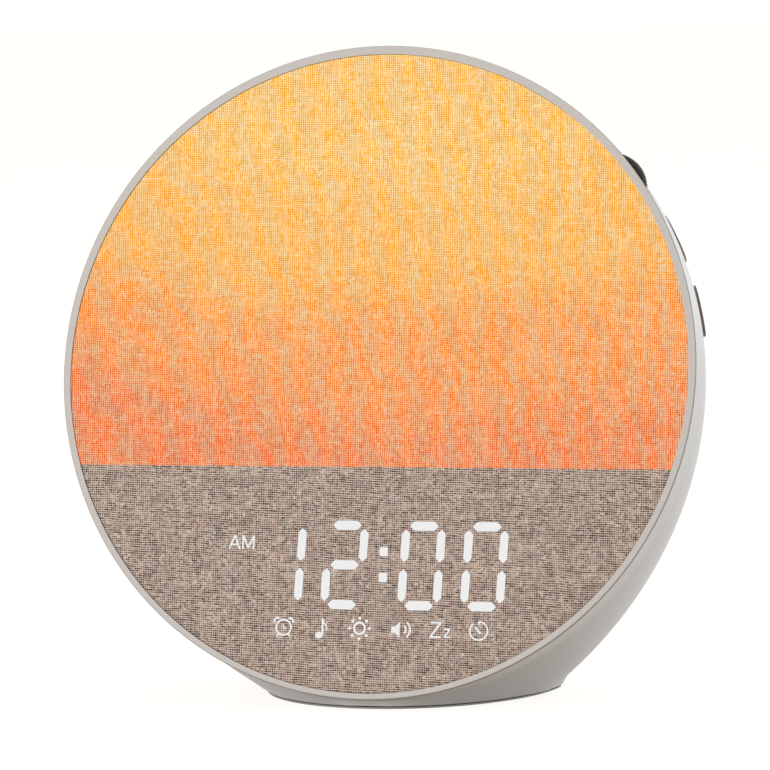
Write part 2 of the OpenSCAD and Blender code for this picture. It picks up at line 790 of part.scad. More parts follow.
module display_frame() color("#1f1f22") face_frame() difference() {
    union() {
        slab(shelf_w, frame_end - shelf_w) frame_outline(0);
        slab(ear_w, ear_t) intersection() {
            circle(r = boss_at + ear_over, $fn = 96);
            union() {
                translate([-boss_r, -2 * boss_at]) square([2 * boss_r, 2 * boss_at + frame_low + ear_t]);
                translate([-boss_at, frame_spots[0][1] - boss_r]) square([2 * boss_at, 2 * boss_r]);
            }
        }
    }
    slab(0, far) figures(cell_gap);
    slab(0, far) icon_cells(cell_gap);
    for (p = frame_spots) rod(p[0], p[1], 0, far, hole_r);
}

module digit_lenses() color("#e9eeee") face_frame()
    slab(shelf_w, lens_end - shelf_w) figures(0);

module icon_lenses() color("#dfe6e6") face_frame()
    slab(shelf_w, lens_end - shelf_w) icon_cells(0);

module display_board() color("#2f6b45") face_frame()
    slab(display_board_w, board_t) frame_outline(0.6);

// One small lamp behind each lens
module display_leds() color("#f4f4d8") face_frame()
    slab(display_board_w - thin - smd_h, smd_h) {
        half = (digit_h - stroke) / 2;
        side = (digit_w - stroke) / 2;
        for (x = digit_x) translate([x, -digit_drop]) {
            for (k = [-1 : 1]) translate([k * half * tan(digit_slant), k * half])
                square([smd_l, smd_w], center = true);
            for (k = [-1, 1], s = [-1, 1])
                translate([s * side + k * half / 2 * tan(digit_slant), k * half / 2])
                    square([smd_w, smd_l], center = true);
        }
        for (k = [-1, 1]) translate([colon_x, k * colon_v - digit_drop]) square(smd_w, center = true);
        for (x = icon_x) translate([x, -icon_drop]) square([smd_l, smd_w], center = true);
        translate([am_x, am_v]) square([smd_l, smd_w], center = true);
    }

// ---------------------------------------------------------------- main board

module main_board() color("#2f6b45") face_frame() difference() {
    translate([-main_half, main_w, main_low]) cube([2 * main_half, board_t, main_high - main_low]);
    for (p = posts) rod(p[0], p[1], 0, far, pilot_r);
}

module main_chips() color("#2a2a2d") face_frame() {
    for (c = chips) translate([c[0] - c[2] / 2, main_end + thin, c[1] - c[3] / 2])
        cube([c[2], c[4], c[3]]);
    for (x = capacitor_x) rod(x, capacitor_v, main_end + thin, capacitor_h, capacitor_r);
}

module memory_cell() color("#c9cacc") face_frame()
    rod(cell_x, cell_v, main_end + holder_floor + 2 * thin, cell_h, cell_r);

module cell_holder() color("#1f1f22") face_frame() translate([cell_x, main_end, cell_v]) difference() {
    translate([-holder_side / 2, thin, -holder_side / 2]) cube([holder_side, holder_h, holder_side]);
    rod(0, 0, holder_floor + thin, far, cell_r + 3 * thin);
    translate([-holder_side / 4, holder_floor + thin, -holder_side])
        cube([holder_side / 2, far, holder_side - cell_r * 0.6]);
}

// ---------------------------------------------------------------- sound and power

// A hexagonal field of holes that fit inside radius r
module hole_field(r) for (i = [-8 : 8], j = [-8 : 8])
    let(x = grille_pitch * (i + j / 2), v = grille_pitch * j * sin(60))
    if (norm([x, v]) < r) translate([x, v]) circle(d = grille_hole_d, $fn = 24);

module speaker_grille() color("#cbc9c5") face_frame() translate([0, 0, grille_v])
    slab(grille_w + thin, grille_t) difference() {
        circle(r = grille_r, $fn = 96);
        hole_field(ledge_r - 1);
    }

// Profile points are [radius, depth in front of the speaker's mounting face]
module speaker_turned(points) translate([0, speaker_w, grille_v]) turned()
    polygon([for (p = points) [p[0], -p[1]]]);

module speaker_frame() color("#4a4a4d") face_frame() difference() {
    speaker_turned([
        [cone_r, 0], [speaker_flange_r, 0], [speaker_flange_r, speaker_flange_t],
        [basket_r, speaker_flange_t], [basket_end_r, basket_d], [basket_end_r, basket_d + rim_t],
        [coil_r, basket_d + rim_t], [coil_r, basket_d], [basket_end_r - speaker_flange_t, basket_d],
        [cone_r, speaker_flange_t + 0.4]
    ]);
    speaker_spots() rod(0, 0, 0, far, hole_r);
}

module speaker_cone() color("#2c2c2e") face_frame() speaker_turned([
    [0, basket_d - 3.8], [coil_r - 0.6, basket_d - 2.8], [coil_r + 0.4, basket_d - rim_t],
    [cone_r - rim_t, speaker_flange_t], [cone_r - paper_t, 0.3], [cone_r - slip, 0.3],
    [cone_r - slip, paper_t], [cone_r - 0.7, speaker_flange_t + 0.4],
    [coil_r + 0.7, basket_d - 0.6], [coil_r - 1, basket_d - 0.6], [0, basket_d - rim_t]
]);

module speaker_magnet() color("#77787b") face_frame() speaker_turned([
    [0, magnet_d], [magnet_r - magnet_edge, magnet_d], [magnet_r, magnet_d + magnet_edge],
    [magnet_r, magnet_d + magnet_h - magnet_edge], [magnet_r - magnet_edge, magnet_d + magnet_h],
    [0, magnet_d + magnet_h]
]);

module power_jack() color("#1f1f22") face_frame() difference() {
    union() {
        rod(0, jack_v, jack_face_w - jack_nose_l - 2 * thin, jack_nose_l + 2 * thin, jack_nose_r);
        translate([-jack_side / 2, jack_face_w - jack_nose_l - jack_l - thin, jack_v - jack_side / 2])
            cube([jack_side, jack_l, jack_side]);
    }
    difference() {
        rod(0, jack_v, jack_face_w - jack_depth, far, jack_r);
        rod(0, jack_v, jack_face_w - jack_depth - 1, jack_depth, jack_pin_r);
    }
}

// ---------------------------------------------------------------- screws

module housing_screws() color("#8d8f93") face_frame()
    for (p = back_spots) screw(p[0], p[1], seat_w + thin, housing_screw_l);

module front_screws() color("#8d8f93") face_frame()
    for (p = front_spots) screw(p[0], p[1], ear_end + thin, front_screw_l);

module small_screws() color("#8d8f93") face_frame() {
    for (p = posts) screw(p[0], p[1], main_end + thin, board_screw_l);
    speaker_spots() translate([0, speaker_w - speaker_flange_t - thin, 0])
        mirror([0, 1, 0]) screw(0, 0, 0, speaker_screw_l);
}

// ---------------------------------------------------------------- thumbwheel

module wheel_place() face_frame() at_rim(wheel_angle) translate([0, 0, wheel_at]) children();

module volume_wheel() color("#302e2d") wheel_place() difference() {
    slab(wheel_w, wheel_t) polygon([
        for (i = [0 : wheel_teeth - 1], k = [0, 1])
            let(r = wheel_r - k * tooth_h, a = 360 * (i + k / 2) / wheel_teeth)
            [r * cos(a), r * sin(a)]
    ]);
    rod(0, 0, 0, far, shaft_r + 0.02);
    rod(0, 0, 0, wheel_w + wheel_t / 5, wheel_r - wheel_recess);
}

module wheel_shaft() color("#b9bbbe") wheel_place()
    rod(0, 0, wheel_w + wheel_t / 4, wheel_board_w - 0.6 - wheel_w - wheel_t / 4, shaft_r);

module wheel_encoder() color("#3b3b3e") wheel_place() difference() {
    rod(0, 0, encoder_w, wheel_board_w - encoder_w - thin, encoder_r);
    rod(0, 0, 0, wheel_board_w - 0.3, shaft_r + run_fit);
}

module wheel_board() color("#2f6b45") face_frame() at_rim(wheel_angle) difference() {
    translate([-wheel_board_l / 2, wheel_board_w, wheel_board_z])
        cube([wheel_board_l, board_t, wheel_board_h]);
    for (s = [-1, 1]) rod(s * wheel_post_x, wheel_post_z, 0, far, stake_r + thin);
}

// ---------------------------------------------------------------- buttons

module side_button(a, s) color("#b3aaa4") face_frame() at_rim(a)
    button(a, s * half_pitch, button_depth, button_l, button_w, side_seat);

module upper_right_button() side_button(pair_angle, -1);
module lower_right_button() side_button(pair_angle, 1);
module upper_left_button() side_button(180 - pair_angle, 1);
module lower_left_button() side_button(180 - pair_angle, -1);

module snooze_bar() color("#b3aaa4") face_frame() at_rim(90)
    button(90, 0, snooze_depth, snooze_l, snooze_w, snooze_seat);

module side_plunger(a, s) color("#1f1f22") face_frame() at_rim(a)
    plunger(s * half_pitch, button_depth, side_seat);

module upper_right_plunger() side_plunger(pair_angle, -1);
module lower_right_plunger() side_plunger(pair_angle, 1);
module upper_left_plunger() side_plunger(180 - pair_angle, 1);
module lower_left_plunger() side_plunger(180 - pair_angle, -1);

module snooze_plunger() color("#1f1f22") face_frame() at_rim(90)
    plunger(0, snooze_depth, snooze_seat);

module side_switches(a) color("#9a9c9f") face_frame() at_rim(a)
    for (s = [-1, 1]) push_switch(s * half_pitch, button_depth, side_seat);

module right_switches() side_switches(pair_angle);
module left_switches() side_switches(180 - pair_angle);

module snooze_switch() color("#9a9c9f") face_frame() at_rim(90)
    push_switch(0, snooze_depth, snooze_seat);

module right_switch_board() color("#2f6b45") face_frame() at_rim(pair_angle)
    cross_board(side_board_l, button_depth, side_seat);

module left_switch_board() color("#2f6b45") face_frame() at_rim(180 - pair_angle)
    cross_board(side_board_l, button_depth, side_seat);

module snooze_board() color("#2f6b45") face_frame() at_rim(90)
    cross_board(snooze_board_l, snooze_depth, snooze_seat);

// ---------------------------------------------------------------- leads

// A point given on the rim's axes at angle a, on the face's axes
function from_rim(a, x, w, z) = [x * sin(a) + z * cos(a), w, z * sin(a) - x * cos(a)];

// A round lead through a line of points
module lead(points) for (i = [0 : len(points) - 2]) {
    d = points[i + 1] - points[i];
    translate(points[i]) rotate([0, acos(d[2] / norm(d)), atan2(d[1], d[0])])
        cylinder(h = norm(d), r = lead_r, $fn = 12);
    if (i > 0) translate(points[i]) sphere(r = lead_r + 0.01, $fn = 12);
}

module board_leads() color("#26262a") face_frame() {
    front = main_w - thin;
    back = main_end + thin;
    display_end = display_board_w + board_t + thin;
    display_v = main_low - 2 * lead_rise;
    led_end = led_board_w + board_t + thin;
    side_w = board_edge_w + cross_board_w - 2 * lead_r;
    mid_w = (led_end + main_w) / 2;
    jack_end = jack_face_w - jack_nose_l - jack_l - 2 * thin;
    wheel_board_end = wheel_board_w + board_t + thin;
    lead([
        [-20, display_end, display_v], [-20, display_end + lead_rise, display_v],
        [-20, front - lead_rise, main_low + 3], [-20, front, main_low + 3]
    ]);
    lead([[-15, led_end, 10], [-15, front, 10]]);
    lead([
        [main_half - lead_rise, back, main_low + 6],
        [main_half - lead_rise, back + lead_rise, main_low + 6],
        [basket_r + 2, speaker_w - 2 * lead_rise, grille_v],
        [basket_r + 2, speaker_w - speaker_flange_t - thin, grille_v]
    ]);
    lead([
        [lead_rise - main_half, back, main_low + 6],
        [lead_rise - main_half, back + lead_rise, main_low + 6],
        [-20, jack_end - 1.5 * lead_rise, jack_v],
        [0, jack_end - lead_rise, jack_v], [0, jack_end, jack_v]
    ]);
    for (a = [pair_angle, 180 - pair_angle]) lead([
        from_rim(a, 0, side_w, side_seat - thin), from_rim(a, 0, side_w, side_seat - lead_rise / 2),
        from_rim(a, 0, led_end + 2 * lead_r, side_seat - lead_rise),
        from_rim(a, 0, mid_w, main_half + 14), [sign(cos(a)) * (main_half - 3), mid_w, 14],
        [sign(cos(a)) * (main_half - 3), front, 14]
    ]);
    lead([
        [10, mid_w, snooze_seat - thin], [10, mid_w, main_high - 3], [10, front, main_high - 3]
    ]);
    lead([
        from_rim(wheel_angle, 0, wheel_board_end, wheel_at),
        from_rim(wheel_angle, 0, wheel_board_end + lead_rise, wheel_at),
        from_rim(wheel_angle, 0, led_end + 2 * lead_r, wheel_at - lead_rise),
        from_rim(wheel_angle, 0, mid_w, main_half + 14), [main_half - 4, mid_w, main_high - 13],
        [main_half - 4, front, main_high - 13]
    ]);
}

// ---------------------------------------------------------------- the nodes

rear_housing();
front_bezel();
fabric_cover();
light_diffuser();
display_window();
divider_gasket();
reflector_tray();
led_board();
sunrise_leds();
display_frame();
digit_lenses();
icon_lenses();
display_board();
display_leds();
main_board();
main_chips();
memory_cell();
cell_holder();
speaker_grille();
speaker_frame();
speaker_cone();
speaker_magnet();
power_jack();
foot_pad();
housing_screws();
front_screws();
small_screws();
volume_wheel();
wheel_shaft();
wheel_encoder();
wheel_board();
upper_right_button();
lower_right_button();
upper_left_button();
lower_left_button();
snooze_bar();
upper_right_plunger();
lower_right_plunger();
upper_left_plunger();
lower_left_plunger();
snooze_plunger();
right_switches();
left_switches();
snooze_switch();
right_switch_board();
left_switch_board();
snooze_board();
board_leads();
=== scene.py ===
"""Looks of the sunrise alarm clock.

A linen front lit from behind, lit figures, and a smooth moulded housing.
"""

import json
import math

import bmesh
import bpy
from mathutils import Matrix, Vector


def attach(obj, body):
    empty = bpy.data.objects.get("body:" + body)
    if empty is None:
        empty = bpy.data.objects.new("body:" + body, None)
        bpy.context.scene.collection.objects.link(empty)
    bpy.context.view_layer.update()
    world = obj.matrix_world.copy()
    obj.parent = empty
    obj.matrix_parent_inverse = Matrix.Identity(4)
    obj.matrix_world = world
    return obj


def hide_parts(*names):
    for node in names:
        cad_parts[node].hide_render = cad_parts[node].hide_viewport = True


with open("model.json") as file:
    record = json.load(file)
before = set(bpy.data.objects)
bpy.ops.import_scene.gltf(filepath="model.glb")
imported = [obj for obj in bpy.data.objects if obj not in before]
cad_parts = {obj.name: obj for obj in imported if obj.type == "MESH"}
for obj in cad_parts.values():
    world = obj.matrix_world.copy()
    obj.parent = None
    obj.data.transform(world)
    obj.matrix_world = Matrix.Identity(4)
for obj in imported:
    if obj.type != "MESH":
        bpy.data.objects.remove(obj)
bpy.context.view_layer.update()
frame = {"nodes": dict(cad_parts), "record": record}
MM = 0.001

# ---------------------------------------------------------------- sizes in mm, as in the CAD model

FACE_R = 85.0
TILT = math.radians(11.6)
SIN_T = math.sin(TILT)
COS_T = math.cos(TILT)
FACE_Y = -19.9084
FACE_Z = 86.2639
HOUSING_W = 1.1
BODY_D = 70.0
STRAIGHT_D = 8.0
SIDE_ROUND = 2.0
CROWN_ROUND = 2.2
KEEL_ROUND = 6.0
KEEL_DROP = 14.5
WALL = 2.4
FOOT_W = 79.4
FOOT_FRONT = 47.0
FOOT_BACK = 19.0
FOOT_Y = 14.0
PAD_T = 0.8
FABRIC_R = 83.3
FABRIC_W = 0.35
SPLIT_DROP = 24.7
DIGIT_DROP = 50.2
DIGIT_H = 23.0
DIGIT_W = 11.9
DIGIT_X = (-23.07, -6.34, 14.33, 31.15)
SLANT = math.tan(math.radians(2.3))
STROKE = 2.4
COLON_X = 4.1
SCREW_SPOTS = ((-46, -14), (46, -14), (-43, 41), (43, 41))
GRILLE_V = -26
JACK_V = -60.8
WHEEL_AT = 77.45
WHEEL_TURN = math.radians(90 - 39.2)
PAIR_HALF = 10.1
PAIR_W = 19
PAIR_TURN = math.radians(90 - 19.7)
SNOOZE_W = 26


def face_point(u, w, v):
    """A point u across, w behind and v up the face, in mm, as a place in the shared frame in metres."""
    return Vector((u, FACE_Y + v * SIN_T + w * COS_T, FACE_Z + v * COS_T - w * SIN_T)) * MM


# ---------------------------------------------------------------- small helpers


def link(name, data):
    obj = bpy.data.objects.new(name, data)
    bpy.context.scene.collection.objects.link(obj)
    return obj


def mesh_object(name, verts, faces, smooth=True):
    mesh = bpy.data.meshes.new(name)
    mesh.from_pydata([tuple(v) for v in verts], [], faces)
    mesh.update()
    if smooth:
        mesh.polygons.foreach_set("use_smooth", [True] * len(mesh.polygons))
    return link(name, mesh)


def set_input(node, name, value):
    node.inputs[name].default_value = value


def srgb(r, g, b):
    """A colour as it is read off a screen, from 0 to 255, as scene-linear values."""
    out = []
    for c in (r, g, b):
        c = c / 255
        out.append(c / 12.92 if c <= 0.04045 else ((c + 0.055) / 1.055) ** 2.4)
    return (*out, 1.0)


BLACK = (0.0, 0.0, 0.0, 1.0)
WHITE = (1.0, 1.0, 1.0, 1.0)


class Graph:
    """Builds shader nodes in a tree, one call a node."""

    def __init__(self, tree):
        self.tree = tree

    def node(self, kind, **props):
        n = self.tree.nodes.new(kind)
        for key, value in props.items():
            setattr(n, key, value)
        return n

    def plug(self, socket, value):
        if isinstance(value, bpy.types.NodeSocket):
            self.tree.links.new(value, socket)
        else:
            socket.default_value = value

    def filled(self, node, *values):
        """The outputs of a node whose first inputs take these values."""
        for socket, value in zip(node.inputs, values):
            self.plug(socket, value)
        return node.outputs

    def math(self, op, a, b=0.0, c=0.0, clamp=False):
        return self.filled(self.node("ShaderNodeMath", operation=op, use_clamp=clamp), a, b, c)[0]

    def plus(self, a, b):
        return self.math("ADD", a, b)

    def minus(self, a, b):
        return self.math("SUBTRACT", a, b)

    def times(self, a, b):
        return self.math("MULTIPLY", a, b)

    def most(self, a, b):
        return self.math("MAXIMUM", a, b)

    def scaled_plus(self, a, scale, b):
        return self.math("MULTIPLY_ADD", a, scale, b)

    def step(self, x, low, high, to_low=0.0, to_high=1.0):
        n = self.node("ShaderNodeMapRange", interpolation_type="SMOOTHSTEP")
        return self.filled(n, x, low, high, to_low, to_high)[0]

    def join(self, x, y, z=0.0):
        return self.filled(self.node("ShaderNodeCombineXYZ"), x, y, z)[0]

    def split(self, vector):
        return self.filled(self.node("ShaderNodeSeparateXYZ"), vector)

    def stretch(self, vector, scale):
        n = self.node("ShaderNodeVectorMath", operation="SCALE")
        self.plug(n.inputs[0], vector)
        self.plug(n.inputs["Scale"], scale)
        return n.outputs[0]

    def object_place(self):
        return self.node("ShaderNodeTexCoord").outputs["Object"]

    def noise(self, vector, scale, detail=2.0, rough=0.5):
        n = self.node("ShaderNodeTexNoise")
        self.plug(n.inputs["Vector"], vector)
        set_input(n, "Scale", scale)
        set_input(n, "Detail", detail)
        set_input(n, "Roughness", rough)
        return n.outputs["Fac"]

    def white(self, vector, dims="2D"):
        n = self.node("ShaderNodeTexWhiteNoise", noise_dimensions=dims)
        self.plug(n.inputs["Vector"], vector)
        return n.outputs["Value"]

    def mix(self, fac, a, b):
        """A colour between two. The node's colour sockets share their names with others."""
        n = self.node("ShaderNodeMix", data_type="RGBA")
        for place, value in ((0, fac), (6, a), (7, b)):
            self.plug(n.inputs[place], value)
        return n.outputs[2]

    def ramp(self, fac, stops):
        n = self.node("ShaderNodeValToRGB")
        n.color_ramp.interpolation = "EASE"
        while len(n.color_ramp.elements) < len(stops):
            n.color_ramp.elements.new(0.5)
        for element, (place, colour) in zip(n.color_ramp.elements, stops):
            element.position = place
            element.color = colour
        self.plug(n.inputs[0], fac)
        return n.outputs[0]

    def bump(self, bsdf, height, strength, depth):
        n = self.node("ShaderNodeBump")
        set_input(n, "Strength", strength)
        set_input(n, "Distance", depth)
        self.plug(n.inputs["Height"], height)
        self.plug(bsdf.inputs["Normal"], n.outputs[0])


def new_group(name, inputs, outputs):
    """A shader node group with float or vector inputs and float outputs, and its end nodes."""
    tree = bpy.data.node_groups.new(name, "ShaderNodeTree")
    kinds = {"f": "NodeSocketFloat", "v": "NodeSocketVector"}
    for label, kind, value in inputs:
        socket = tree.interface.new_socket(label, in_out="INPUT", socket_type=kinds[kind])
        if value is not None:
            socket.default_value = value
    for label in outputs:
        tree.interface.new_socket(label, in_out="OUTPUT", socket_type=kinds["f"])
    g = Graph(tree)
    return g, g.node("NodeGroupInput").outputs, g.node("NodeGroupOutput").inputs


def use_group(g, group, **values):
    n = g.node("ShaderNodeGroup", node_tree=group)
    for key, value in values.items():
        g.plug(n.inputs[key], value)
    return n.outputs


# ---------------------------------------------------------------- weave

# Rates say how quickly a noise changes along two values, per mm or from one thread to the next. Spans
# are the levels of noise between which a mark fades in. Seeds tell the noises of one kind apart.
THREAD_PITCH = 0.58
SWAY_RATE, SWAY_REACH, SWAY_SEED = 0.08, 1.0, 9.0
UPRIGHT_LEAN, ACROSS_LEAN = 0.019, 0.031
GAP_RATES, GAP_SPAN, GAP_SEEDS = (0.4, 5.3), (0.3, 0.7), (1.3, 7.9)
GAP_HALF, GAP_BLUR = (0.22, 0.39), 0.04
PATCH_STRETCH, PATCH_RATE, PATCH_DETAIL, PATCH_ROUGH = 0.55, 0.3, 3.0, 0.6
OWN_SHARE = 0.6
HOLE_SPAN, HOLE_RANGE = (0.4, 0.85), (0.1, 1.0)
ROW_RATES, ROW_SPAN = (0.8, 3.1), (0.3, 0.66)
COLUMN_RATES, COLUMN_SPAN, COLUMN_SEED = (3.7, 0.6), (0.2, 0.6), 4.0
SLUB_UPRIGHT, SLUB_ACROSS, SLUB_NEXT = 0.05, 0.04, 8.1
SLUB_SPAN, SLUB_SEEDS, SLUB_CLOSES = (0.6, 0.82), (3.0, 5.0), 0.6
BAND_RATES, BAND_SPAN, BAND_SEEDS, BAND_CLOSES = (0.45, 0.07), (0.57, 0.74), (11.0, 13.0), 0.36
FIBRE_RATES, FIBRE_SPAN, FIBRE_SEED = (0.8, 1.6), (0.25, 0.98), 2.0
KNOT_SHARE, KNOT_SEED = 0.22, 1.0


def linen_group():
    """Slubby plain weave. The vector is in mm across and up the cloth."""
    g, i, o = new_group(
        "Linen weave",
        [("Vector", "v", None), ("Pitch", "f", THREAD_PITCH)],
        ["Hole", "Across", "Upright", "Thread", "Slub", "Height"],
    )
    u, v, _ = g.split(i["Vector"])

    def sway(place):
        """How far the threads wander off their line here, in mm."""
        return g.times(g.minus(g.noise(place, SWAY_RATE), 0.5), SWAY_REACH)

    def count(x, other, lean, place):
        """How many threads lie between the middle of the cloth and here."""
        return g.math("DIVIDE", g.plus(x, g.scaled_plus(other, lean, sway(place))), i["Pitch"])

    across = count(u, v, UPRIGHT_LEAN, g.join(u, v))
    up = count(v, u, ACROSS_LEAN, g.join(u, v, SWAY_SEED))

    def streaks(a, b, rates, seed=0.0, detail=1.0):
        """Noise that changes at its own rate along each of two values."""
        return g.noise(g.join(g.times(a, rates[0]), g.times(b, rates[1]), seed), 1.0, detail)

    def gap(x, along, seed):
        """The space between two threads: how open it is here, and its number."""
        index = g.math("FLOOR", g.plus(x, 0.5))
        off = g.math("ABSOLUTE", g.minus(x, index))
        half = g.step(streaks(along, index, GAP_RATES, seed), *GAP_SPAN, *GAP_HALF)
        return g.minus(1.0, g.step(g.minus(off, half), -GAP_BLUR, GAP_BLUR)), index

    def slubs(x, along, rate, seed):
        """A thread that is thick and loose for a stretch."""
        run = streaks(along, g.math("FLOOR", x), (rate, SLUB_NEXT), seed, detail=2.0)
        return g.step(run, *SLUB_SPAN)

    def thick(x, along, seed):
        """A few neighbouring threads that are thicker than the rest for a stretch."""
        return g.step(streaks(x, along, BAND_RATES, seed), *BAND_SPAN)

    open_u, index_u = gap(across, v, GAP_SEEDS[0])
    open_v, index_v = gap(up, u, GAP_SEEDS[1])
    own = g.white(g.join(index_u, index_v))
    patch = g.noise(g.join(g.times(u, PATCH_STRETCH), v), PATCH_RATE, PATCH_DETAIL, PATCH_ROUGH)
    strength = g.scaled_plus(own, OWN_SHARE, patch)
    hole = g.times(g.times(open_u, open_v), g.step(strength, *HOLE_SPAN, *HOLE_RANGE))
    line = g.times(open_v, g.step(streaks(u, index_v, ROW_RATES), *ROW_SPAN))
    column = streaks(index_u, v, COLUMN_RATES, COLUMN_SEED)
    upright = g.times(open_u, g.step(column, *COLUMN_SPAN))

    slub = g.most(
        slubs(across, v, SLUB_UPRIGHT, SLUB_SEEDS[0]),
        slubs(up, u, SLUB_ACROSS, SLUB_SEEDS[1]),
    )
    band = g.most(thick(across, v, BAND_SEEDS[0]), thick(up, u, BAND_SEEDS[1]))
    knot = g.white(g.join(g.math("FLOOR", across), g.math("FLOOR", up), KNOT_SEED), "3D")
    fibre = streaks(u, v, FIBRE_RATES, FIBRE_SEED, detail=2.0)
    thread = g.step(g.scaled_plus(knot, KNOT_SHARE, fibre), *FIBRE_SPAN)
    closed = g.minus(1.0, g.most(g.times(slub, SLUB_CLOSES), g.times(band, BAND_CLOSES)))
    g.plug(o["Hole"], g.times(hole, closed))
    g.plug(o["Across"], g.times(line, closed))
    g.plug(o["Upright"], g.times(upright, closed))
    g.plug(o["Thread"], thread)
    g.plug(o["Slub"], slub)
    g.plug(o["Height"], g.minus(slub, g.most(hole, line)))
    return g.tree


# ---------------------------------------------------------------- plastic and other plain materials

GRAIN_RATE = 2600.0
GRAIN_DEPTH = 0.04 * MM
TONE_RATE = 18.0


def grain_group():
    """Fine moulded grain, as a height and a small change of tone."""
    g, i, o = new_group("Moulded grain", [("Scale", "f", 1.0)], ["Height", "Tone"])
    place = g.stretch(g.object_place(), i["Scale"])
    g.plug(o["Height"], g.noise(place, GRAIN_RATE))
    g.plug(o["Tone"], g.noise(place, TONE_RATE, detail=3.0))
    return g.tree


LINEN = linen_group()
GRAIN = grain_group()


def material(name):
    m = bpy.data.materials.new(name)
    m.use_nodes = True
    return m, Graph(m.node_tree), m.node_tree.nodes["Principled BSDF"]


def plastic(name, colour, rough, grain=0.12, tone=0.03):
    """Moulded plastic with a fine grain and slight changes of tone."""
    m, g, bsdf = material(name)
    effect = use_group(g, GRAIN)
    shade = g.scaled_plus(effect["Tone"], 2 * tone, 1 - tone)
    g.plug(bsdf.inputs["Base Color"], g.stretch(colour[:3], shade))
    g.bump(bsdf, effect["Height"], strength=grain, depth=GRAIN_DEPTH)
    set_input(bsdf, "Roughness", rough)
    return m


SEAM_SHADE_SPAN = (0.1, 0.22)


def bezel_material():
    """Pale ring with painted shade: its side goes dark towards the seam behind it."""
    m = plastic("bezel_plastic", srgb(187, 182, 177), rough=0.5, grain=0.003, tone=0.005)
    g = Graph(m.node_tree)
    base = m.node_tree.nodes["Principled BSDF"].inputs["Base Color"]
    front = base.links[0].from_socket
    _, y, z = g.split(g.object_place())
    back = g.times(g.minus(y, FACE_Y * MM), COS_T / MM)
    down = g.times(g.minus(z, FACE_Z * MM), SIN_T / MM)
    # The dark tone is painted shade, the shadow in the seam between the ring and the housing.
    g.plug(base, g.mix(g.step(g.minus(back, down), *SEAM_SHADE_SPAN), front, srgb(112, 102, 94)))
    return m


def plain(name, colour, rough, metal=0.0):
    m, _, bsdf = material(name)
    set_input(bsdf, "Base Color", colour)
    set_input(bsdf, "Roughness", rough)
    set_input(bsdf, "Metallic", metal)
    return m


PAD_SHADE_SPAN = (0.42 * MM, 0.5 * MM)


def pad_material():
    """Grey rubber with painted shade: dark along its top, where it goes up into the joint under the
    housing.
    """
    m, g, bsdf = material("rubber")
    joint_shade = g.step(g.split(g.object_place())[2], *PAD_SHADE_SPAN)
    # The dark band along the pad's top is painted shade, the shadow gap under the housing.
    g.plug(bsdf.inputs["Base Color"], g.mix(joint_shade, srgb(150, 150, 149), srgb(34, 33, 32)))
    set_input(bsdf, "Roughness", 0.8)
    return m


def lamp_material(name, colour, strength):
    m, _, bsdf = material(name)
    set_input(bsdf, "Base Color", BLACK)
    set_input(bsdf, "Specular IOR Level", 0.0)
    set_input(bsdf, "Roughness", 1.0)
    set_input(bsdf, "Emission Color", colour)
    set_input(bsdf, "Emission Strength", strength)
    return m


# ---------------------------------------------------------------- cloth with the light behind it

# The light's level goes from 0 a little below the split to 1 near the top of the face. Soft clouds
# shift it up and down, and it drops towards both sides.
CLOUD_RATE, CLOUD_REACH = 0.022, 16.0
BRIGHT_U = 6.0
SIDE_POWER, SIDE_DROP = 2.4, 14.0
LEVEL_DROP, LEVEL_H = 26.0, 108.0
LEVEL_STOPS = (0.0, 0.28, 0.52, 0.8)
SPLIT_BLUR = 0.15
LIT_STRENGTH = 1.03
WEAVE_DEPTH = 0.06 * MM


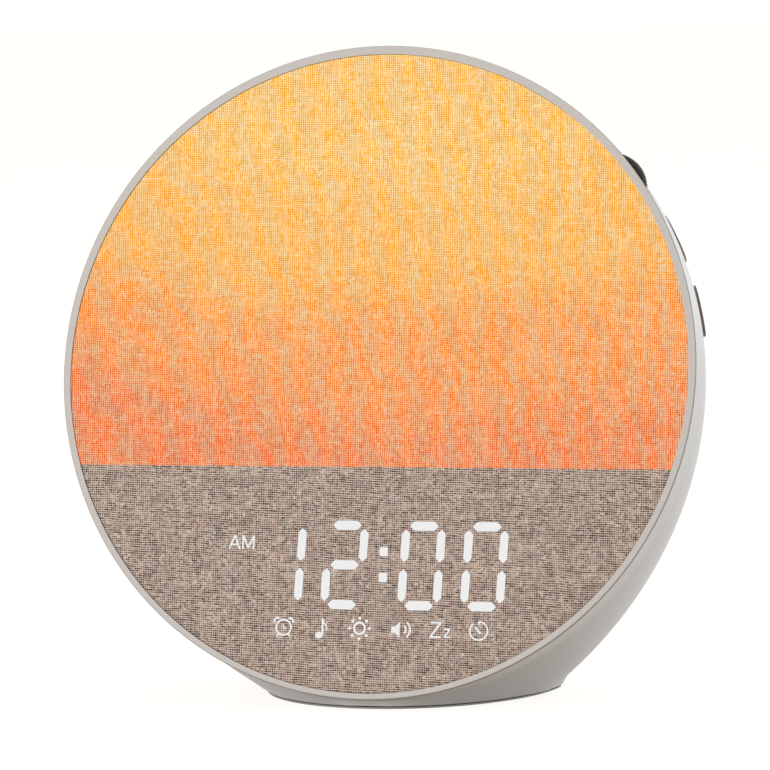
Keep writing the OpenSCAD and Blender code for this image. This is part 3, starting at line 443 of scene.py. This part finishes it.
def linen_material():
    m, g, bsdf = material("linen")
    place = g.node("ShaderNodeUVMap", uv_map="cloth").outputs[0]
    weave = use_group(g, LINEN, Vector=place)
    u, v, _ = g.split(place)

    def shaded(colour, mark, share, tone):
        """The colour with a share of a tone over it where the weave has that mark."""
        return g.mix(g.times(weave[mark], share), colour, tone)

    # Plain linen, with painted shade: darker where the threads part, near black in the holes
    thread = g.mix(weave["Thread"], srgb(204, 184, 170), srgb(220, 203, 190))
    thread = shaded(thread, "Slub", 0.4, srgb(218, 203, 191))
    thread = shaded(thread, "Upright", 0.16, srgb(110, 80, 66))
    thread = shaded(thread, "Across", 0.68, srgb(84, 46, 32))
    cloth = g.mix(weave["Hole"], thread, srgb(14, 4, 0))

    # Light from behind, yellow above and orange below
    clouds = g.noise(g.join(u, v), CLOUD_RATE)
    height = g.plus(v, g.scaled_plus(clouds, CLOUD_REACH, -CLOUD_REACH / 2))
    side = g.math("DIVIDE", g.math("ABSOLUTE", g.minus(u, BRIGHT_U)), FACE_R)
    height = g.minus(height, g.times(g.math("POWER", side, SIDE_POWER), SIDE_DROP))
    level = g.math("DIVIDE", g.plus(height, LEVEL_DROP), LEVEL_H, clamp=True)

    def sunrise(*tones):
        """A colour that goes through these tones as the light's level rises."""
        return g.ramp(level, list(zip(LEVEL_STOPS, (srgb(*tone) for tone in tones))))

    glow = sunrise((250, 190, 142), (252, 203, 144), (254, 219, 150), (255, 229, 168))
    veil = sunrise((212, 193, 174), (224, 205, 178), (235, 218, 186), (243, 224, 198))
    bright = sunrise((240, 124, 0), (255, 152, 0), (255, 176, 0), (255, 190, 0))
    spark = sunrise((230, 68, 0), (236, 102, 0), (238, 141, 0), (234, 151, 0))
    lit = g.mix(weave["Thread"], glow, veil)
    lit = shaded(lit, "Across", 0.58, bright)
    lit = shaded(lit, "Upright", 0.92, bright)
    lit = g.mix(weave["Hole"], lit, spark)
    lit = shaded(lit, "Slub", 0.2, glow)
    edge = g.step(v, -SPLIT_DROP - SPLIT_BLUR, -SPLIT_DROP + SPLIT_BLUR)

    g.plug(bsdf.inputs["Base Color"], g.mix(edge, cloth, BLACK))
    g.plug(bsdf.inputs["Emission Color"], lit)
    g.plug(bsdf.inputs["Emission Strength"], g.times(edge, LIT_STRENGTH))
    set_input(bsdf, "Roughness", 0.95)
    set_input(bsdf, "Specular IOR Level", 0.15)
    set_input(bsdf, "Sheen Weight", 0.03)
    set_input(bsdf, "Sheen Roughness", 0.6)
    g.bump(bsdf, weave["Height"], strength=0.3, depth=WEAVE_DEPTH)
    return m


CLOTH_RINGS = 30
CLOTH_TURNS = 192
CLOTH_BACK_W = 2.1
# The bend at the cloth's edge, as distances in from the edge and back from the face
CLOTH_BEND = ((0.15, 0.0), (0.04, 0.05), (0.0, 0.15))


def linen_front():
    """The stretched cloth: a flat disc whose edge turns back over the plate behind it."""
    profile = [(r * FABRIC_R / CLOTH_RINGS, FABRIC_W) for r in range(1, CLOTH_RINGS)]
    profile += [(FABRIC_R - inward, FABRIC_W + back) for inward, back in CLOTH_BEND]
    profile.append((FABRIC_R, CLOTH_BACK_W))
    turns = CLOTH_TURNS
    flat = [(0.0, FABRIC_W, 0.0)]
    for r, w in profile:
        for k in range(turns):
            a = math.tau * k / turns
            flat.append((r * math.cos(a), w, r * math.sin(a)))
    faces = [(0, 1 + (k + 1) % turns, 1 + k) for k in range(turns)]
    for ring in range(len(profile) - 1):
        for k in range(turns):
            a, b = 1 + ring * turns + k, 1 + ring * turns + (k + 1) % turns
            faces.append((a, b, b + turns, a + turns))
    obj = mesh_object("linen_front", [face_point(*p) for p in flat], faces)
    layer = obj.data.uv_layers.new(name="cloth")
    for loop in obj.data.loops:
        u, _, v = flat[loop.vertex_index]
        layer.data[loop.index].uv = (u, v)
    obj.data.materials.append(linen_material())
    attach(obj, "clock")
    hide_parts("fabric_cover")


# ---------------------------------------------------------------- outlines of lit figures

CORNER_SHARE = 0.45
JOINT_SHARE = 0.15


def rounded(points, radius, steps=3):
    """A closed outline with its corners cut round."""
    out = []
    n = len(points)
    for k in range(n):
        p, a, b = Vector(points[k]), Vector(points[k - 1]), Vector(points[(k + 1) % n])
        reach = min(radius, (a - p).length * CORNER_SHARE, (b - p).length * CORNER_SHARE)
        start, end = p + (a - p).normalized() * reach, p + (b - p).normalized() * reach
        for s in range(steps + 1):
            t = s / steps
            out.append(tuple((1 - t) ** 2 * start + 2 * t * (1 - t) * p + t * t * end))
    return out


def oval(cx, cy, across, up, steps):
    turns = [math.tau * k / steps for k in range(steps)]
    return [(cx + across * math.cos(a), cy + up * math.sin(a)) for a in turns]


def circle(cx, cy, r, steps=32):
    return oval(cx, cy, r, r, steps)


def arc(cx, cy, r, start, end, steps):
    """Points round a middle from one angle to another, in degrees."""
    turns = [math.radians(start + (end - start) * k / steps) for k in range(steps + 1)]
    return [(cx + r * math.cos(a), cy + r * math.sin(a)) for a in turns]


def stroke_line(points, width, closed=False):
    """Quads of one width along a line of points, each a little longer than its step."""
    out = []
    n = len(points)
    for k in range(n if closed else n - 1):
        a, b = Vector(points[k]), Vector(points[(k + 1) % n])
        d = (b - a).normalized() * width / 2
        side, more = Vector((-d.y, d.x)), d * JOINT_SHARE
        corners = (a - side - more, b - side + more, b + side + more, a + side - more)
        out.append([tuple(p) for p in corners])
    return out


# ---------------------------------------------------------------- digits

# The lit segments are trimmed as by a mask, so they are shorter than the light guides behind them.
UPRIGHT_STROKE = 2.2
SEGMENT_GAP = 0.87
SEGMENT_CORNER = 0.3
COLON_V = 3.35
COLON_RISE = 0.2
COLON_HALF_W, COLON_HALF_H, COLON_CORNER = 1.1, 1.2, 0.5
SHOWN = {"1": "ce", "2": "tcmlb", "0": "tcelfb"}


def segment(cx, cy, length, slope, width=STROKE):
    """One six-sided segment about its middle, turned to lie along slope."""
    h, e = width / 2, length / 2
    points = [(-e, 0), (h - e, -h), (e - h, -h), (e, 0), (e - h, h), (h - e, h)]
    c, s = math.cos(slope), math.sin(slope)
    return rounded([(cx + x * c - y * s, cy + x * s + y * c) for x, y in points], SEGMENT_CORNER)


def digit(number, x):
    """Outlines of the lit segments: t, m, b across, c and e on the right, f and l on the left."""
    half, side = (DIGIT_H - STROKE) / 2, (DIGIT_W - STROKE) / 2
    across = 2 * side - 2 * SEGMENT_GAP
    upright = (half - 2 * SEGMENT_GAP, math.pi / 2 - math.atan(SLANT), UPRIGHT_STROKE)
    shapes = {
        "t": (half * SLANT, half, across, 0.0),
        "m": (0.0, 0.0, across, 0.0),
        "b": (-half * SLANT, -half, across, 0.0),
        "c": (side + half / 2 * SLANT, half / 2, *upright),
        "e": (side - half / 2 * SLANT, -half / 2, *upright),
        "f": (-side + half / 2 * SLANT, half / 2, *upright),
        "l": (-side - half / 2 * SLANT, -half / 2, *upright),
    }
    lit = [shapes[k] for k in SHOWN[number]]
    return [segment(x + u, v - DIGIT_DROP, *rest) for u, v, *rest in lit]


def colon_dot(side):
    """The upper dot of the colon for 1, and the lower one for -1."""
    v = side * COLON_V + COLON_RISE - DIGIT_DROP
    w, h = COLON_HALF_W, COLON_HALF_H
    corners = [(COLON_X + a, v + b) for a, b in ((-w, -h), (w, -h), (w, h), (-w, h))]
    return rounded(corners, COLON_CORNER)


def digits():
    shapes = [s for number, x in zip("1200", DIGIT_X) for s in digit(number, x)]
    return shapes + [colon_dot(-1), colon_dot(1)]


# ---------------------------------------------------------------- signs, each drawn about its middle

# Widths of stroke, and the heights of the two rows of signs
HAIR, FINE, THIN, MEDIUM, BOLD, HEAVY = 0.3, 0.4, 0.42, 0.45, 0.5, 0.56
LETTER_V = -44.65
SIGN_V = -66.7


def letter_a():
    legs = stroke_line([(-1.45, -1.8), (0, 1.8), (1.45, -1.8)], MEDIUM)
    return legs + stroke_line([(-0.95, -0.55), (0.95, -0.55)], MEDIUM)


def letter_m():
    return stroke_line([(-1.45, -1.8), (-1.45, 1.75), (0, -1.4), (1.45, 1.75), (1.45, -1.8)], MEDIUM)


def alarm_sign():
    out = stroke_line(circle(0, 0.1, 2.0), THIN, True)
    out += stroke_line([(0, 1.1), (0, -0.1), (0.8, -0.1)], HAIR)
    for s, lean in ((-1, 135), (1, 45)):
        out += stroke_line(arc(s * 1.75, 1.75, 0.75, lean - 80, lean + 80, 8), BOLD)
        out += stroke_line([(s * 1.3, -1.5), (s * 1.85, -2.3)], THIN)
    return out


def note_sign():
    head = oval(-0.75, -1.75, 1.0, 0.85, 24)
    stem = stroke_line([(0.1, -1.8), (0.1, 2.5)], BOLD)
    flag = stroke_line([(0.1, 2.4), (0.5, 1.4), (1.15, 0.7), (1.25, -0.3)], THIN)
    return [head] + stem + flag


def sun_sign():
    v, disc_r, ray_at, ray_r = 0.15, 1.45, 2.65, 0.4
    disc = stroke_line(circle(0, v, disc_r), HEAVY, True)
    return disc + [circle(x, y, ray_r, 12) for x, y in circle(0, v, ray_at, 8)]


def sound_sign():
    horn = [(-2.6, -0.8), (-1.6, -0.8), (-0.3, -2.0), (-0.3, 2.0), (-1.6, 0.8), (-2.6, 0.8)]
    near, far = (stroke_line(arc(0, 0, r, -50, 50, 12), THIN) for r in (1.3, 2.5))
    return [horn] + near + far


def sleep_sign():
    out = []
    for x, v, high, width in ((0, 0.1, 1.85, BOLD), (3.1, -0.75, 1.0, FINE)):
        half = high * 0.72
        corners = ((-half, high), (half, high), (-half, -high), (half, -high))
        out += stroke_line([(x + a, v + b) for a, b in corners], width)
    return out


def timer_sign():
    out = stroke_line(arc(0, 0, 2.35, 130, 450, 36), THIN)
    out += stroke_line([(0, 2.35), (0, 1.5)], THIN)
    return out + stroke_line([(-0.9, 0.9), (0.5, -0.7)], BOLD)


def signs():
    """The morning letters, and the row of status signs under the digits."""
    placed = (
        (-36.35, LETTER_V, letter_a()),
        (-32.65, LETTER_V, letter_m()),
        (-22.2, SIGN_V, alarm_sign()),
        (-11.8, SIGN_V, note_sign()),
        (-1.7, SIGN_V, sun_sign()),
        (9.4, SIGN_V, sound_sign()),
        (18.7, SIGN_V, sleep_sign()),
        (30.2, SIGN_V, timer_sign()),
    )
    return [[(x + a, v + b) for a, b in shape] for x, v, shapes in placed for shape in shapes]


FIGURE_W = 0.3


def figures_object(name, outlines, mat):
    """Flat shapes just in front of the cloth."""
    verts, faces = [], []
    for outline in outlines:
        start = len(verts)
        verts += [face_point(x, FIGURE_W, y) for x, y in outline]
        faces.append(tuple(range(start, len(verts))))
    obj = mesh_object(name, verts, faces, smooth=False)
    obj.data.materials.append(mat)
    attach(obj, "clock")


# ---------------------------------------------------------------- housing

TAPER_END = 0.9995
LEAST_HALF = 6.0
CAP_DROP = 8
HOLLOW_W = 2.3
SKIN_STEPS = 60
HOLLOW_STEPS = 24
SHARP_TURN = math.radians(32)
PAST_HOLLOW, PAST_BACK, PAST_RIM = 80, 90, 95


def taper(w, t):
    return min(TAPER_END, max(0.0, (w - STRAIGHT_D) / (BODY_D - t - STRAIGHT_D)))


def round_off(x, p):
    return (1 - x**p) ** (1 / p)


def foot_half(y, t):
    """Half the foot's width at y, and 0 in front of it and behind it."""
    d = (y - FOOT_Y) / ((FOOT_FRONT if y < FOOT_Y else FOOT_BACK) - t)
    return max(LEAST_HALF, (FOOT_W / 2 - t) * math.sqrt(1 - d * d)) if abs(d) < 1 else 0.0


def section(w, t, bottom=24, side=90):
    """The right half of the housing's section at depth w, from the middle of its bottom to its top.

    hw, ch and kh are its half width, its height up from the level m and its height down from it. Where
    the section is grounded its bottom is flat out to e, and elsewhere it follows the oval. From there
    a straight line goes to the point where it touches the oval.
    """
    x = taper(w, t)
    hw = (FACE_R - t) * round_off(x, SIDE_ROUND)
    ch = (FACE_R - t) * round_off(x, CROWN_ROUND)
    kh = (FACE_R - t) * round_off(x, KEEL_ROUND)
    m = -KEEL_DROP * x
    floor_v = (PAD_T + t - FACE_Z + w * SIN_T) / COS_T
    foot = foot_half(FACE_Y + floor_v * SIN_T + w * COS_T, t)
    d = (floor_v - m) / kh
    reached = hw * math.sqrt(1 - d * d) if abs(d) < 1 else 0.0
    grounded = foot > 0 or reached > 0
    e = max(foot, reached) if grounded else min(LEAST_HALF, hw / 2)
    ev = floor_v if grounded else m - kh * math.sqrt(1 - (e / hw) ** 2)
    cx, cy = e / hw, (ev - m) / kh
    reach = max(1.0, math.hypot(cx, cy))
    start = math.atan2(cy, cx)
    touch = start + math.acos(1 / reach)
    out = []
    for k in range(bottom):
        u = e * k / bottom
        out.append((u, floor_v if grounded else m - kh * math.sqrt(1 - (u / hw) ** 2)))
    for j in range(side + 1):
        a = start + (math.pi / 2 - start) * j / side
        r = 1 / math.cos(touch - a) if a < touch else 1.0
        h = ch if a > 0 else kh
        out.append((0.0 if j == side else hw * r * math.cos(a), m + h * r * math.sin(a)))
    return out


def housing_form(name, t, start, steps):
    """A closed solid of the housing's form, set in from the skin by t."""
    verts, faces = [], []
    reach = BODY_D - t - start
    depths = [start + reach * (1 - math.cos(math.pi * k / steps)) / 2 for k in range(steps)]
    for w in depths:
        half = section(w, t)
        ring = half + [(-x, y) for x, y in half[-2:0:-1]]
        verts += [face_point(x, w, y) for x, y in ring]
        n = len(ring)
    for k in range(len(depths) - 1):
        for j in range(n):
            a, b = k * n + j, k * n + (j + 1) % n
            faces.append((a, b, b + n, a + n))
    last = (len(depths) - 1) * n
    verts.append(face_point(0, BODY_D - t, -KEEL_DROP - CAP_DROP))
    faces += [(last + j, last + (j + 1) % n, len(verts) - 1) for j in range(n)]
    verts.append(face_point(0, depths[0], 0))
    faces += [((j + 1) % n, j, len(verts) - 1) for j in range(n)]
    return mesh_object(name, verts, faces)


def face_matrix():
    return Matrix.Translation(face_point(0, 0, 0)) @ Matrix.Rotation(-TILT, 4, "X")


def rod(x, v, front, back, r, turn=0.0, sides=64):
    """A cylinder along the depth, in mm, in the face's frame turned by an angle about that depth."""
    bm = bmesh.new()
    depth = (back - front) * MM
    bmesh.ops.create_cone(bm, cap_ends=True, segments=sides, radius1=r * MM, radius2=r * MM, depth=depth)
    middle = Matrix.Translation(Vector((x, (front + back) / 2, v)) * MM)
    place = face_matrix() @ Matrix.Rotation(turn, 4, "Y") @ middle @ Matrix.Rotation(math.pi / 2, 4, "X")
    bmesh.ops.transform(bm, matrix=place, verts=bm.verts)
    return bm


def capsule(x, w, length, width, inner, turn, steps=16):
    """A capsule-shaped prism that points out past the rim at an angle."""
    bm = bmesh.new()
    r, h = width / 2, (length - width) / 2
    turns = [math.pi * k / steps for k in range(steps + 1)]
    outline = [(h + r * math.sin(a), r * math.cos(a)) for a in turns]
    outline += [(-h - r * math.sin(a), -r * math.cos(a)) for a in turns]
    low = [bm.verts.new(Vector((x + a, w + b, inner)) * MM) for a, b in outline]
    top = [bm.verts.new(Vector((x + a, w + b, PAST_RIM)) * MM) for a, b in outline]
    bm.faces.new(low)
    bm.faces.new(top[::-1])
    n = len(outline)
    for k in range(n):
        bm.faces.new((low[(k + 1) % n], low[k], top[k], top[(k + 1) % n]))
    bmesh.ops.recalc_face_normals(bm, faces=bm.faces)
    bmesh.ops.transform(bm, matrix=face_matrix() @ Matrix.Rotation(turn, 4, "Y"), verts=bm.verts)
    return bm


def take_away(target, tool):
    mod = target.modifiers.new("cut", "BOOLEAN")
    mod.object = tool
    mod.operation = "DIFFERENCE"
    mod.solver = "EXACT"
    bpy.context.view_layer.objects.active = target
    bpy.ops.object.modifier_apply(modifier=mod.name)
    bpy.data.objects.remove(tool)


def cut(target, bm):
    mesh = bpy.data.meshes.new("cutter")
    bm.to_mesh(mesh)
    bm.free()
    take_away(target, link("cutter", mesh))


def housing_hollow():
    """The space inside the walls, without the posts and rims that stand in it."""
    hollow = housing_form("housing_hollow", WALL, HOLLOW_W, HOLLOW_STEPS)
    for x, v in SCREW_SPOTS:
        cut(hollow, rod(x, v, front=30.5, back=PAST_HOLLOW, r=4.0))
    cut(hollow, rod(0, GRILLE_V, front=62, back=PAST_HOLLOW, r=28.0))
    cut(hollow, rod(0, JACK_V, front=59.4, back=PAST_HOLLOW, r=7.4))
    return hollow


def housing():
    shell = housing_form("housing_shell", 0.0, HOUSING_W, SKIN_STEPS)
    take_away(shell, housing_hollow())
    # Rebate for the bezel, screw holes, grille seat and opening, inlet recess and bore
    cut(shell, rod(0, 0, front=-5, back=3.6, r=84.35))
    for x, v in SCREW_SPOTS:
        cut(shell, rod(x, v, front=33, back=PAST_BACK, r=2.8))
    cut(shell, rod(0, GRILLE_V, front=65.2, back=PAST_BACK, r=25.25))
    cut(shell, rod(0, GRILLE_V, front=60, back=66, r=21.0))
    cut(shell, rod(0, JACK_V, front=67.4, back=PAST_BACK, r=5.6))
    cut(shell, rod(0, JACK_V, front=58, back=70, r=4.3))
    # Slots for the wheel, the side buttons and the snooze bar
    cut(shell, rod(0, WHEEL_AT, front=4.5, back=9.5, r=9.5, turn=WHEEL_TURN))
    for turn in (PAIR_TURN, -PAIR_TURN):
        for s in (-1, 1):
            cut(shell, capsule(s * PAIR_HALF, PAIR_W, length=14.2, width=6.2, inner=73, turn=turn))
    cut(shell, capsule(0, SNOOZE_W, length=32.6, width=8.6, inner=67, turn=0.0))
    shell.data.polygons.foreach_set("use_smooth", [True] * len(shell.data.polygons))
    shell.data.set_sharp_from_angle(angle=SHARP_TURN)
    shell.data.materials.clear()
    shell.data.materials.append(HOUSING)
    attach(shell, "clock")
    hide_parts("rear_housing")


# ---------------------------------------------------------------- build

HOUSING = plastic("pale_plastic", srgb(211, 211, 211), rough=0.4, grain=0.02, tone=0.01)
BEZEL = bezel_material()
BUTTON = plastic("button_plastic", srgb(126, 114, 106), rough=0.4)
KNURL = plastic("knurled_plastic", srgb(30, 28, 27), rough=0.55)
RUBBER = pad_material()
DARK = plastic("dark_plastic", srgb(38, 38, 40), rough=0.4)
FIGURES = lamp_material("lit_figures", srgb(240, 240, 240), strength=0.98)
STEEL = plain("steel", srgb(170, 172, 176), rough=0.35, metal=1.0)
BOARD = plain("circuit_board", srgb(40, 92, 62), rough=0.5)
REFLECTOR = plain("reflector", srgb(240, 240, 236), rough=0.35)

BY_SLOT = {
    "housing": HOUSING,
    "bezel": BEZEL,
    "button": BUTTON,
    "knurl": KNURL,
    "rubber": RUBBER,
    "black": DARK,
    "window": DARK,
    "steel": STEEL,
    "board": BOARD,
    "reflector": REFLECTOR,
    "diffuser": REFLECTOR,
    "chip": DARK,
    "cone": DARK,
    "magnet": DARK,
    "switch": DARK,
}

slots = {p["node"]: p["material_slot"] for p in frame["record"]["subparts"]}
for name, node in frame["nodes"].items():
    look = BY_SLOT.get(slots.get(name))
    if look:
        node.data.materials.clear()
        node.data.materials.append(look)

linen_front()
figures_object("lit_digits", digits(), FIGURES)
figures_object("lit_signs", signs(), FIGURES)
housing()

# ---------------------------------------------------------------- camera

DISTANCE = 1554.107
AZIMUTH = 0.28602
ELEVATION = math.radians(5)
ROLL = -0.02072
FOCAL_PIXELS = 6000.0
IMAGE_PIXELS = 770
MIDDLE_PIXEL = 384.5
FACE_PIXEL = (374.33, 371.46)
SENSOR = 36
CAMERA_REACH = 20


def camera():
    flat = math.cos(ELEVATION)
    forward = Vector((-math.sin(AZIMUTH) * flat, math.cos(AZIMUTH) * flat, -math.sin(ELEVATION)))
    level = Vector((math.cos(AZIMUTH), math.sin(AZIMUTH), 0))
    upright = level.cross(forward)
    right = math.cos(ROLL) * level + math.sin(ROLL) * upright
    up = -math.sin(ROLL) * level + math.cos(ROLL) * upright
    across = (FACE_PIXEL[0] - MIDDLE_PIXEL) / FOCAL_PIXELS * DISTANCE
    rise = -(FACE_PIXEL[1] - MIDDLE_PIXEL) / FOCAL_PIXELS * DISTANCE
    place = face_point(0, 0, 0) - (across * right + rise * up + DISTANCE * forward) * MM
    data = bpy.data.cameras.new("camera")
    data.sensor_width = SENSOR
    data.lens = FOCAL_PIXELS / IMAGE_PIXELS * SENSOR
    data.clip_end = CAMERA_REACH
    obj = link("camera", data)
    obj.matrix_world = Matrix.Translation(place) @ Matrix((right, up, -forward)).transposed().to_4x4()
    bpy.context.scene.camera = obj


camera()

# ---------------------------------------------------------------- light and floor

SKY_LIGHT, SKY_SEEN = 0.62, 0.43
FLOOR_HALF = 6.0
FLOOR_COLOUR = (0.34, 0.27, 0.205, 1)
FLOOR_SEEN = 0.85


def area_light(name, place, aim, size, power, colour=(1, 1, 1)):
    """A rectangular lamp that points at a height on the clock's middle line."""
    data = bpy.data.lights.new(name, "AREA")
    data.shape = "RECTANGLE"
    data.size, data.size_y = size
    data.energy = power
    data.color = colour
    obj = link(name, data)
    obj.location = place
    obj.rotation_euler = (Vector((0, 0, aim)) - Vector(place)).to_track_quat("-Z", "Y").to_euler()


def seen_direct(g):
    """1 where the surroundings are looked at, also in a reflection, and 0 where they light something."""
    path = g.node("ShaderNodeLightPath").outputs
    return g.most(path["Is Camera Ray"], g.most(path["Is Glossy Ray"], path["Is Transmission Ray"]))


def backdrop():
    world = bpy.data.worlds.new("world")
    bpy.context.scene.world = world
    world.use_nodes = True
    g = Graph(world.node_tree)
    sky = world.node_tree.nodes["Background"]
    g.plug(sky.inputs["Strength"], g.scaled_plus(seen_direct(g), SKY_SEEN, SKY_LIGHT))
    set_input(sky, "Color", WHITE)


def floor():
    f = FLOOR_HALF
    obj = mesh_object("floor", [(-f, -f, 0), (f, -f, 0), (f, f, 0), (-f, f, 0)], [(0, 1, 2, 3)])
    m, g, bsdf = material("floor")
    set_input(bsdf, "Base Color", FLOOR_COLOUR)
    set_input(bsdf, "Roughness", 1.0)
    set_input(bsdf, "Specular IOR Level", 0.0)
    set_input(bsdf, "Emission Color", WHITE)
    g.plug(bsdf.inputs["Emission Strength"], g.times(seen_direct(g), FLOOR_SEEN))
    obj.data.materials.append(m)


floor()
backdrop()
area_light("key", place=(-0.6, -1.55, 0.5), aim=0.08, size=(1.2, 1.0), power=16.5)
area_light("side", place=(1.2, 0.2, 0.3), aim=0.08, size=(0.6, 0.6), power=5.6, colour=(0.84, 0.93, 1.0))
area_light("rim", place=(0.7, 1.5, 0.3), aim=0.05, size=(0.5, 0.4), power=1.2, colour=(0.9, 0.96, 1.0))
area_light("top", place=(0.1, 0.2, 1.4), aim=0.05, size=(1.2, 1.2), power=4.0)

bpy.context.scene.view_settings.view_transform = "Standard"
